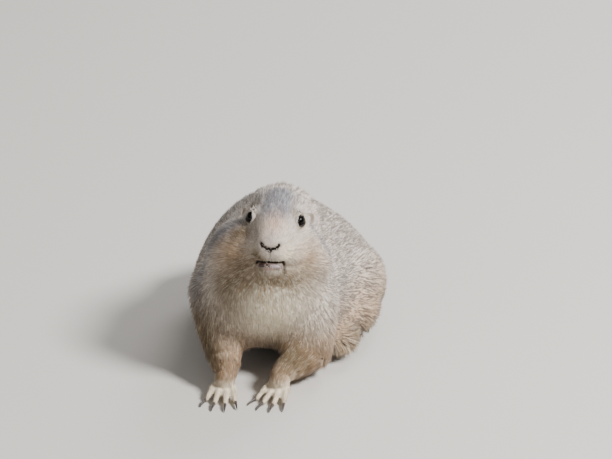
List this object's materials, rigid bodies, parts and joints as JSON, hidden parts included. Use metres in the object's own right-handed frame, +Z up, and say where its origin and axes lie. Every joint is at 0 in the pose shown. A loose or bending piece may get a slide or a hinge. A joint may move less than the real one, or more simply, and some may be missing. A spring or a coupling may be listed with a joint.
{
  "type": "prairie dog",
  "caption": "Stout black-tailed prairie dog standing low on all fours, head raised and turned to the viewer, tail laid out behind it.",
  "frame": {"origin": "the point on the floor under the middle of the whole animal's box, tail and claws included", "axes": "+Z up from the floor; +Y from the face back to the tail; +X to the animal's own left"},
  "size_m": [0.1512, 0.3198, 0.1437],
  "materials": {
    "fur": "grizzled buff and grey fur",
    "pale_fur": "short pale buff fur",
    "tail_fur": "black-brown fur",
    "eye": "wet and glossy",
    "nose_skin": "bare, slightly moist skin",
    "claw": "horn, satin"
  },
  "bodies": {
    "root": {"abdomen": "fur", "chest": "pale_fur", "claw_fore_left_1": "claw", "claw_fore_left_2": "claw", "claw_fore_left_3": "claw", "claw_fore_left_4": "claw", "claw_fore_right_1": "claw", "claw_fore_right_2": "claw", "claw_fore_right_3": "claw", "claw_fore_right_4": "claw", "claw_hind_left_1": "claw", "claw_hind_left_2": "claw", "claw_hind_left_3": "claw", "claw_hind_left_4": "claw", "claw_hind_left_5": "claw", "claw_hind_right_1": "claw", "claw_hind_right_2": "claw", "claw_hind_right_3": "claw", "claw_hind_right_4": "claw", "claw_hind_right_5": "claw", "ear_left": "fur", "ear_right": "fur", "eye_left": "eye", "eye_right": "eye", "forearm_left": "pale_fur", "forearm_right": "pale_fur", "forefoot_left": "pale_fur", "forefoot_right": "pale_fur", "head": "fur", "hind_foot_left": "pale_fur", "hind_foot_right": "pale_fur", "lower_jaw": "pale_fur", "neck": "fur", "nose": "nose_skin", "rump": "fur", "shank_left": "fur", "shank_right": "fur", "tail_base": "fur", "tail_tip": "tail_fur", "thigh_left": "fur", "thigh_right": "fur", "upper_arm_left": "fur", "upper_arm_right": "fur"}
  },
  "joints": []
}
